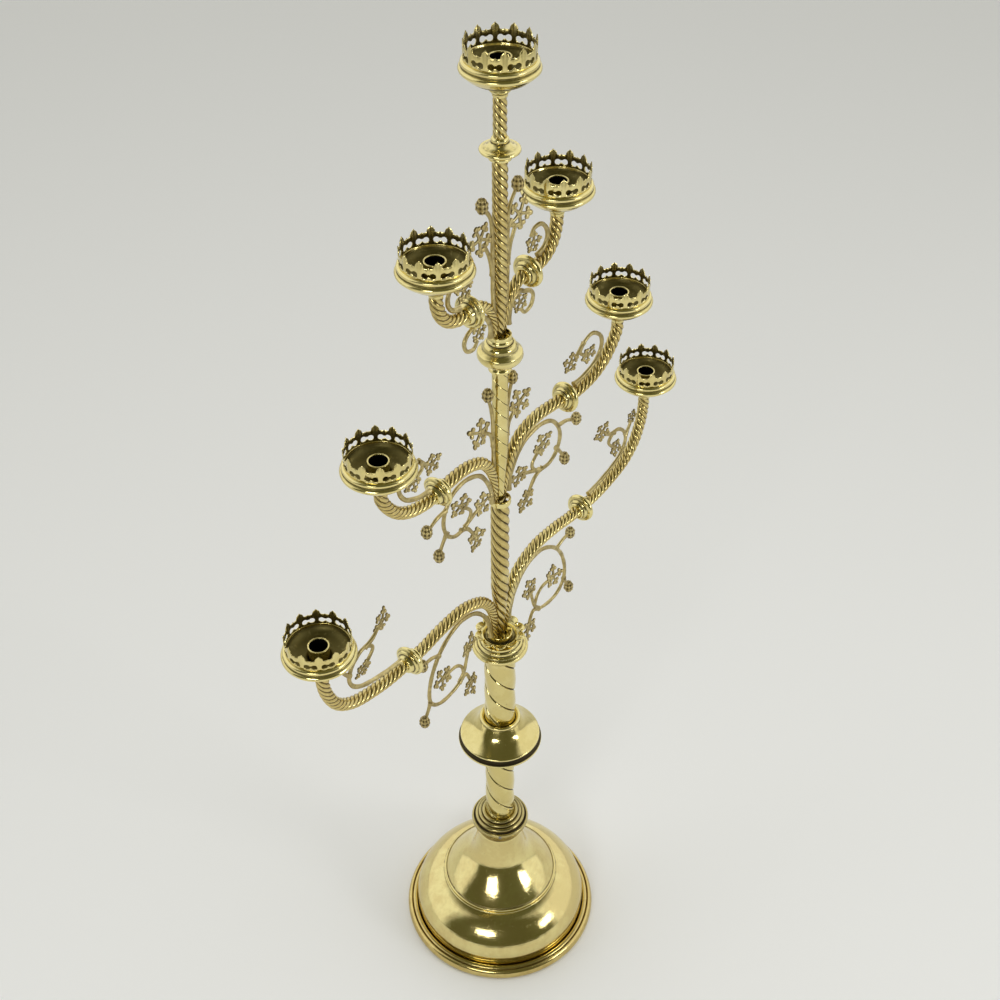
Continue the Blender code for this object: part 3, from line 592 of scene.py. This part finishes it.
def add_bud(skin, plane, rho, z):
    """A seed cone: an egg covered with rows of small knobs."""
    rows, columns = 26, 40
    polar = np.linspace(0.02, math.pi - 0.02, rows)[:, None]
    round_it = (np.arange(columns) * TAU / columns)[None]
    knobs = np.cos(4 * round_it + 5 * polar) * np.cos(4 * round_it - 5 * polar)
    r = BUD_RADIUS * (1 + 0.14 * knobs * np.sin(polar))
    points = (
        plane.at((rho, z))[0]
        + (r * np.sin(polar) * np.cos(round_it))[..., None] * plane.out
        + (r * np.sin(polar) * np.sin(round_it))[..., None] * plane.across
        + (r * BUD_LENGTH * np.cos(polar) * np.ones_like(round_it))[..., None] * UP
    )
    # Dirt and painted shade between the knobs, a faint painted highlight on their tops.
    skin.net(points, 0.5 - 0.75 * knobs, caps=True)


def make(name, skin, material, body, nodes=(), sharp=42, weld=0.001):
    """The mesh object of a visual piece. It rides on its body and stands for the given nodes."""
    mesh = bpy.data.meshes.new(name)
    mesh.from_pydata((np.concatenate(skin.points) * MM).tolist(), [], skin.faces)
    dirt = mesh.attributes.new("dirt", "FLOAT", "POINT")
    dirt.data.foreach_set("value", np.concatenate(skin.dirt))
    bm = bmesh.new()
    bm.from_mesh(mesh)
    if weld:
        bmesh.ops.remove_doubles(bm, verts=bm.verts, dist=weld * MM)
    bmesh.ops.recalc_face_normals(bm, faces=bm.faces)
    bm.to_mesh(mesh)
    bm.free()
    mesh.shade_smooth()
    mesh.set_sharp_from_angle(angle=math.radians(sharp))
    mesh.materials.append(material)
    thing = bpy.data.objects.new(name, mesh)
    bpy.context.scene.collection.objects.link(thing)
    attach(thing, body)
    if nodes:
        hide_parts(*nodes)
    return thing


class Nodes:
    """Adds shader nodes to a tree and links them."""

    def __init__(self, tree):
        self.tree = tree

    def add(self, kind, settings=None, **inputs):
        node = self.tree.nodes.new(f"ShaderNode{kind}")
        for key, value in (settings or {}).items():
            setattr(node, key, value)
        for key, value in inputs.items():
            self.set(node.inputs[key.replace("_", " ")], value)
        return node

    def set(self, socket, value):
        if isinstance(value, bpy.types.NodeSocket):
            self.tree.links.new(value, socket)
        else:
            socket.default_value = value

    def noise(self, place, scale, detail=3.0, rough=0.55):
        return self.add("TexNoise", Vector=place, Scale=scale, Detail=detail, Roughness=rough).outputs[0]

    def math(self, operation, a, b=0.0, clamp=False):
        node = self.add("Math", {"operation": operation, "use_clamp": clamp})
        self.set(node.inputs[0], a)
        self.set(node.inputs[1], b)
        return node.outputs[0]

    def remap(self, value, low, high, to_low=0.0, to_high=1.0):
        node = self.add("MapRange", Value=value)
        for key, number in zip(("From Min", "From Max", "To Min", "To Max"), (low, high, to_low, to_high)):
            node.inputs[key].default_value = number
        return node.outputs[0]

    def toward(self, direction, axis):
        node = self.add("VectorMath", {"operation": "DOT_PRODUCT"})
        self.set(node.inputs[0], direction)
        self.set(node.inputs[1], axis)
        return node.outputs["Value"]

    def mix(self, share, a, b):
        node = self.add("Mix", {"data_type": "RGBA"})
        self.set(node.inputs[0], share)
        self.set(node.inputs[6], a)
        self.set(node.inputs[7], b)
        return node.outputs[2]


def metal(slot, name):
    """A new metal material: it, its nodes, its shader and the object's own coordinates."""
    material = bpy.data.materials.new(name)
    material.use_nodes = True
    material["slot"] = slot
    nodes = Nodes(material.node_tree)
    shader = material.node_tree.nodes["Principled BSDF"]
    shader.inputs["Metallic"].default_value = 1.0
    return material, nodes, shader, nodes.add("TexCoord").outputs["Object"]


def brass(slot, name, clean, warm, grime_and_shade_colour, roughness, tarnish):
    """Old brass: clean metal, warmer tarnish in patches, dark dirt and painted shade in hollows, wear and a
    painted highlight on ridges, small pits.
    """
    material, nodes, shader, place = metal(slot, name)
    broad = nodes.noise(place, 14, 3)
    patch = nodes.noise(place, 75, 7, 0.66)
    fine = nodes.noise(place, 620, 4)
    streak = nodes.noise(place, 210, 5, 0.7)
    cells = nodes.add("TexVoronoi", Vector=place, Scale=330).outputs["Distance"]
    dirt = nodes.add("Attribute", {"attribute_name": "dirt"}).outputs["Fac"]
    toned = nodes.math(
        "ADD", nodes.remap(broad, 0.38, 0.62), nodes.remap(patch, 0.42, 0.68), clamp=True
    )
    toned = nodes.math("MULTIPLY", toned, tarnish)
    colour = nodes.mix(toned, (*clean, 1), (*warm, 1))
    pits = nodes.math("MULTIPLY", nodes.remap(cells, 0.17, 0.06), nodes.remap(streak, 0.5, 0.6))
    ragged = nodes.math("ADD", dirt, nodes.remap(streak, 0.3, 0.7, -0.28, 0.28))
    # Grime with painted shade where the mark is high, and in the pits.
    grime_and_shade_mask = nodes.remap(ragged, 0.25, 0.95)
    grime_and_shade_mask = nodes.math("MAXIMUM", grime_and_shade_mask, nodes.math("MULTIPLY", pits, 0.75), clamp=True)
    colour = nodes.mix(grime_and_shade_mask, colour, (*grime_and_shade_colour, 1))
    # Paler, cleaner metal where the mark is low: wear with a painted highlight.
    wear_and_highlight = nodes.remap(ragged, -0.15, -0.8, 0, 0.55)
    colour = nodes.mix(wear_and_highlight, colour, tuple(min(1, c * 1.12) for c in clean) + (1,))
    nodes.set(shader.inputs["Base Color"], colour)
    rough = nodes.math("ADD", nodes.remap(patch, 0.3, 0.7, *roughness), nodes.math("MULTIPLY", grime_and_shade_mask, 0.35))
    nodes.set(shader.inputs["Roughness"], rough)
    dents = nodes.noise(place, 55, 2)
    height = nodes.math("ADD", dents, nodes.math("MULTIPLY", fine, 0.10))
    height = nodes.math("SUBTRACT", height, nodes.math("MULTIPLY", pits, 0.25))
    bump = nodes.add("Bump", Strength=0.35, Distance=0.0009, Height=height)
    nodes.set(shader.inputs["Normal"], bump.outputs[0])
    return material


def steel():
    """Drawn steel, darker and duller in streaks."""
    material, nodes, shader, place = metal("steel", "steel")
    streak = nodes.noise(place, 180, 5)
    shade = nodes.remap(streak, 0.4, 0.7)
    nodes.set(shader.inputs["Base Color"], nodes.mix(shade, (0.42, 0.42, 0.42, 1), (0.21, 0.21, 0.21, 1)))
    nodes.set(shader.inputs["Roughness"], nodes.remap(streak, 0.3, 0.7, 0.35, 0.55))
    return material


def build_foot(look):
    for name, outline, segments, finish in (
        ("foot_rim", RIM, 160, "rim"), ("foot_dome", shell(DOME), 160, "spun"),
        ("foot_bell", shell(BELL), 128, "spun"), ("foot_collar", FOOT_COLLAR, 96, "patina"),
    ):
        skin = Skin()
        turn(skin, outline, segments, closed=True)
        make(f"{name}_look", skin, look[finish], "frame", [name])


def set_screw(look):
    """The small cheese-head screw in the foot collar's rim."""
    reaches, radii = np.array(SCREW).T
    line = Plane(math.radians(SCREW_ANGLE)).at([(reach, SCREW_HEIGHT) for reach in reaches])
    skin = Skin()
    sweep(skin, line, radii, UP, plain_ring(20))
    make("set_screw", skin, look["steel"], "frame")


def build_columns(look):
    grooves, lead = GROOVE_TWIST
    for name, radius, bottom, top, plain_foot, plain_head, phase in COLUMNS:
        line = upright(bottom, top, 1.2)
        height = line[:, 2]
        inside = np.minimum(height - bottom - plain_foot, top - plain_head - height)
        fade = np.clip(1 + inside / GROOVE_RUN_OUT, 0, 1)
        angles, factors, dirt = grooved_ring(
            radius, grooves, GROOVE_DEPTH, GROOVE_HALF_WIDTH, bulge=COLUMN_BULGE
        )
        skin = Skin()
        sweep(skin, line, np.full(len(line), radius), STEM_ACROSS, (angles + phase, factors, dirt),
              lead, fade)
        make(f"{name}_look", skin, look["polished"], "frame", [name])


def petal_swell(angles, radius):
    reach = np.clip((radius - PETAL_ROOT) / PETAL_RISE, 0, 1)
    return 1 - PETAL_DEPTH * reach * (1 - np.abs(np.cos(PETALS * angles / 2)) ** 0.6)


def knop_dirt(shape):
    """The black groove round the knop's edge, and black painted shade where the column goes in."""
    radius, height = shape.T
    groove = (height > 304.2) & (height < 309.9) & (radius > 42)
    # Painted shade: black on the lip and bore where the column goes in.
    mouth = (height > 300) & (radius < 17.6)
    return np.where(groove | mouth, BLACK, NO_DIRT)


def pan_dirt(shape):
    """Grime on the pan's floor and inside its wall."""
    return np.where((shape[:, 0] < 27.5) & (shape[:, 1] > -37), GRIMY, NO_DIRT)


def socket_dirt(shape):
    """Soot inside the socket."""
    return np.where((shape[:, 0] < 8.4) & (shape[:, 1] < -16.2), BLACK, NO_DIRT)


def build_stem(look):
    for name, outline, segments, swell, band in (
        ("column_knop", COLUMN_KNOP, 112, None, knop_dirt), ("arm_collar", ARM_COLLAR, 96, None, None),
        ("petal_cup", PETAL_CUP, 160, petal_swell, None), ("mid_knop", MID_KNOP, 80, None, None),
        ("high_knop", HIGH_KNOP, 80, None, None),
    ):
        skin = Skin()
        turn(skin, outline, segments, closed=True, swell=swell, extra_dirt=band)
        make(f"{name}_look", skin, look["polished"], "frame", [name])
    for name, heights, radii, (strands, lead) in ROPES:
        line = upright(heights[0], heights[-1], 0.9)
        ring = rope_ring(strands, ROPE_DEPTH)
        skin = Skin()
        sweep(skin, line, np.interp(line[:, 2], heights, radii), STEM_ACROSS, ring, lead)
        make(f"{name}_look", skin, look["twisted"], "frame", [name])
    line = upright(MID_STEM_HEIGHTS[0], MID_STEM_HEIGHTS[-1], 1.2)
    radii = np.interp(line[:, 2], MID_STEM_HEIGHTS, MID_STEM_RADII)
    lines, lead = LINE_TWIST
    ring = grooved_ring(MID_STEM_RADII[-1], lines, LINE_DEPTH, LINE_HALF_WIDTH)
    skin = Skin()
    sweep(skin, line, radii, STEM_ACROSS, ring, lead)
    make("mid_stem_look", skin, look["polished"], "frame", ["mid_stem"])
    skin = Skin()
    turn(skin, BINDING_RING, 48, closed=True)
    make("binding_ring_look", skin, look["polished"], "frame", ["binding_ring"])


def arm_shape(tier, tips):
    """The centre line and radius of an arm's tube, slim where its root lies against the stem."""
    line = curve([*tier["line"], (tier["reach"], tips - CUP_DROP)], 0.9)
    risen = line[:, 1] - tier["line"][0][1] - ROOT_LENGTH
    grown = risen / TAPER_LENGTH + (line[:, 0] > ROOT_REACH)
    root = tier["root_radius"]
    return line, root + (ARM_RADIUS - root) * np.clip(grown, 0, 1)


def even_out(radii, window=15):
    """Radii with any sudden step spread over some points."""
    padded = np.pad(radii, window, mode="edge")
    return np.convolve(padded, np.ones(2 * window + 1) / (2 * window + 1), "valid")


def add_rod(skin, plane, points, thick):
    """A cast rod, a little flattened, swelling where it leaves its parent and slim at its tip."""
    line = curve(points, 1.3)
    along = lengths_along(line)
    slimmer = (thick - ROD_TIP) * np.clip(along / along[-1], 0, 1) ** 2
    radii = thick + 1.1 * np.exp(-along / 3.0) - slimmer
    radii = radii * (1 + 0.05 * np.sin(along / 3.1 + chance.uniform(0, TAU)))
    angles, factors, _ = plain_ring(12)
    # Darker on the flattened faces across the arm's plane, lighter along the edges in it.
    dirt = 0.05 + 0.4 * np.abs(np.sin(angles))
    sweep(skin, plane.at(line), radii, plane.across, (angles, factors, dirt), squash=ROD_FLATNESS)


def leafwork(name, plane, rods, leaves, buds, look):
    skin = Skin()
    for i, points in enumerate(rods):
        add_rod(skin, plane, points, MAIN_ROD if i == 0 else SIDE_ROD)
    for leaf in leaves:
        add_leaf(skin, plane, *leaf)
    for bud in buds:
        add_bud(skin, plane, *bud)
    make(f"{name}_look", skin, look["cast"], "frame", [name], sharp=60)


def build_arm(name, look):
    low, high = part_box(f"gallery_{name}")
    x, y, tips = (low.x + high.x) / 2 / MM, (low.y + high.y) / 2 / MM, high.z / MM
    tier = TIERS[name.split("_")[0]]
    reach = math.hypot(x, y)
    plane = Plane(math.atan2(y, x), reach / tier["reach"])
    shape, radii = arm_shape(tier, tips)
    line = plane.at(shape)
    skin = Skin()
    strands, lead = ARM_TWIST
    sweep(skin, line, even_out(radii), plane.across, rope_ring(strands, ARM_ROPE_DEPTH), lead)
    heights = tips - CUP_DROP + np.linspace(-1, 8, SPIGOT_RINGS)
    spigot = plane.at([(tier["reach"], height) for height in heights])
    thread = SPIGOT_RADIUS + THREAD_DEPTH * np.cos(np.arange(SPIGOT_RINGS) * math.pi)
    sweep(skin, spigot, thread, plane.across, plain_ring(24))
    make(f"arm_{name}_look", skin, look["twisted"], "frame", [f"arm_{name}"])

    near = int(np.argmin(np.abs(shape[:, 0] - tier["knop"])))
    turn_to = np.array(Vector(line[near + 2] - line[near - 2]).to_track_quat("Z", "Y").to_matrix())
    skin = Skin()
    turn(skin, ARM_KNOP, 72, closed=True, put=lambda points: points @ turn_to.T + line[near])
    make(f"knop_{name}_look", skin, look["polished"], "frame", [f"knop_{name}"])
    leafwork(f"spray_inner_{name}", plane, tier["inner_rods"], tier["inner_leaves"],
             tier["inner_buds"], look)
    leafwork(f"spray_outer_{name}", plane, tier["outer_rods"], tier["outer_leaves"], [], look)


def gallery_columns():
    """Distances from the middle of a valley, in millimetres, gathered where the outline turns."""
    half = math.pi * GALLERY_RADIUS / GALLERY_TIPS
    flame = half - FLAME_HALF_WIDTH
    hole = HOLE_OFFSET - HOLE_RADIUS * np.cos(np.linspace(0, math.pi, 11))
    shares = np.array([0, 0.02, 0.07, 0.16, 0.3, 0.45, 0.6, 0.74, 0.85, 0.93, 0.98])
    crest = flame + FLAME_HALF_WIDTH * shares
    scallop = flame * np.linspace(0, 1, 9)
    found = np.unique(np.round(np.concatenate([[0, 0.3, 0.9], hole, crest, scallop]), 3))
    kept = [v for v, w in zip(found, np.append(found[1:], half)) if w - v > 0.06]
    return np.array(kept), half


def gallery_outline(v, half):
    """Heights of the top edge and of the slot's edges at a distance v from a valley's middle."""
    u = half - v
    share = np.clip(u / FLAME_HALF_WIDTH, 0, 1)
    flame = GALLERY_VALLEY * (1 - 0.72 * np.sqrt(1 - share**2) - 0.28 * (1 - share) ** 5)
    dip = half - FLAME_HALF_WIDTH
    scallop = GALLERY_VALLEY - 1.0 * np.sqrt(np.clip(1 - ((v - dip / 2) / (dip / 2)) ** 2, 0, 1))
    top = np.where(u < FLAME_HALF_WIDTH, flame, scallop)
    circle = np.sqrt(np.clip(HOLE_RADIUS**2 - (v - HOLE_OFFSET) ** 2, 0, None))
    joined = v < HOLE_OFFSET - 0.7 * HOLE_RADIUS
    above = np.where(joined, np.maximum(circle, JOINT_ABOVE), circle)
    below = np.where(joined, np.maximum(circle, JOINT_BELOW), circle)
    return top, GALLERY_SLOT + above, GALLERY_SLOT - below


def add_gallery(skin, centre):
    """The pierced band, as two closed rings that meet between its slots."""
    v, half = gallery_columns()
    spots = np.concatenate([v, [half], (2 * half - v)[:0:-1]])
    distance = half - np.abs(spots - half)
    top, slot_top, slot_bottom = gallery_outline(distance, half)
    spots = np.concatenate([spots + 2 * half * k for k in range(GALLERY_TIPS)])
    top, slot_top, slot_bottom = (np.tile(row, GALLERY_TIPS) for row in (top, slot_top, slot_bottom))
    opened = np.clip((slot_top - slot_bottom) / 0.8, 0, 1)
    foot = np.full_like(top, GALLERY_FOOT)
    inset, soft = 0.22, 0.4
    bands = (
        (foot, foot + soft, slot_bottom - soft, slot_bottom, np.ones_like(top), opened),
        (slot_top, slot_top + soft, top - soft, top, opened, np.ones_like(top)),
    )
    angles = spots / GALLERY_RADIUS
    for low, above_low, below_high, high, low_open, high_open in bands:
        above_low, below_high = np.minimum(above_low, high), np.maximum(below_high, low)
        front, back = GALLERY_RADIUS, GALLERY_RADIUS - GALLERY_WALL
        # The outside face is left plain, the inside face darker, and the edges round the slots lighter.
        outer = [(front - inset * low_open, low, -0.5 * low_open), (front, above_low, 0),
                 (front, below_high, 0), (front - inset * high_open, high, -0.5 * high_open)]
        inner = [(back + inset * high_open, high, 0), (back, below_high, 0.62),
                 (back, above_low, 0.62), (back + inset * low_open, low, 0)]
        rows = [
            (np.stack([r * np.cos(angles), r * np.sin(angles), h], -1), d + 0 * angles)
            for r, h, d in outer + inner
        ]
        points = np.stack([p for p, _ in rows]) + centre
        skin.net(points, np.stack([d for _, d in rows]), loop=True)


def build_cup(name, look):
    low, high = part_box(f"gallery_{name}")
    centre = np.array(((low.x + high.x) / 2, (low.y + high.y) / 2, high.z)) / MM
    body = f"light_{name}"
    skin = Skin()
    turn(skin, PAN, 112, put=lambda points: points + centre, extra_dirt=pan_dirt)
    make(f"pan_{name}", skin, look["pan"], body, [f"cup_{name}"])
    skin = Skin()
    turn(skin, SOCKET, 48, put=lambda points: points + centre, extra_dirt=socket_dirt)
    make(f"socket_{name}", skin, look["sooty"], body)
    skin = Skin()
    add_gallery(skin, centre)
    make(f"gallery_{name}_look", skin, look["polished"], body, [f"gallery_{name}"], weld=0)


def lamp(name, place, size, power, reflected):
    light = bpy.data.lights.new(name, "AREA")
    light.shape = "RECTANGLE"
    light.size, light.size_y = size
    light.energy = power
    thing = bpy.data.objects.new(name, light)
    bpy.context.scene.collection.objects.link(thing)
    thing.location = place
    thing.rotation_euler = (LAMP_TARGET - thing.location).to_track_quat("-Z", "Y").to_euler()
    thing.visible_glossy = reflected


def build_studio():
    scene = bpy.context.scene
    mesh = bpy.data.meshes.new("floor")
    side = FLOOR_HALF_SIDE
    corners = [(-side, -side, 0), (side, -side, 0), (side, side, 0), (-side, side, 0)]
    mesh.from_pydata(corners, [], [(0, 1, 2, 3)])
    floor = bpy.data.objects.new("floor", mesh)
    scene.collection.objects.link(floor)
    material = bpy.data.materials.new("floor")
    material.use_nodes = True
    shader = material.node_tree.nodes["Principled BSDF"]
    shader.inputs["Base Color"].default_value = (0.93, 0.93, 0.93, 1)
    shader.inputs["Roughness"].default_value = 0.9
    mesh.materials.append(material)

    world = bpy.data.worlds.new("studio")
    scene.world = world
    world.use_nodes = True
    nodes = Nodes(world.node_tree)
    background = world.node_tree.nodes["Background"]
    direction = nodes.add("TexCoord").outputs["Generated"]
    away = nodes.remap(nodes.toward(direction, FROM_CAMERA), *DARK_SIDE)
    level = nodes.remap(nodes.toward(direction, (0, 0, 1)), *DARK_OVERHEAD)
    bright = nodes.math("MULTIPLY", away, level, clamp=True)
    nodes.set(background.inputs["Color"], nodes.mix(bright, WORLD_DARK, WORLD_BRIGHT))
    background.inputs["Strength"].default_value = 1.0
    for each in LAMPS:
        lamp(*each)


def build_camera():
    data = bpy.data.cameras.new("camera")
    data.sensor_width = 36
    data.lens = CAMERA_LENS
    camera = bpy.data.objects.new("camera", data)
    bpy.context.scene.collection.objects.link(camera)
    x, y = math.sin(CAMERA_AZIMUTH), -math.cos(CAMERA_AZIMUTH)
    level, down = math.cos(CAMERA_PITCH), math.sin(CAMERA_PITCH)
    camera.location = (CAMERA_DISTANCE * x, CAMERA_DISTANCE * y, CAMERA_HEIGHT)
    camera.rotation_euler = Vector((-x * level, -y * level, -down)).to_track_quat("-Z", "Y").to_euler()
    bpy.context.scene.camera = camera


def main():
    look = {key: brass(*values) for key, values in BRASSES.items()}
    look["steel"] = steel()
    build_foot(look)
    set_screw(look)
    build_columns(look)
    build_stem(look)
    for name in CUPS:
        if name != "centre":
            build_arm(name, look)
        build_cup(name, look)
    for level, parts in STEM_SPRIGS.items():
        for angle, word in ((math.pi, "left"), (0.0, "right")):
            leafwork(f"sprig_{level}_{word}", Plane(angle), parts["rods"], parts["leaves"],
                     parts["buds"], look)
    for node in ("tie_rod", "foot_nut"):
        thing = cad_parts[node]
        thing.data.materials.clear()
        thing.data.materials.append(look["steel"])
    build_studio()
    build_camera()
    bpy.context.scene.view_settings.view_transform = "Standard"


main()
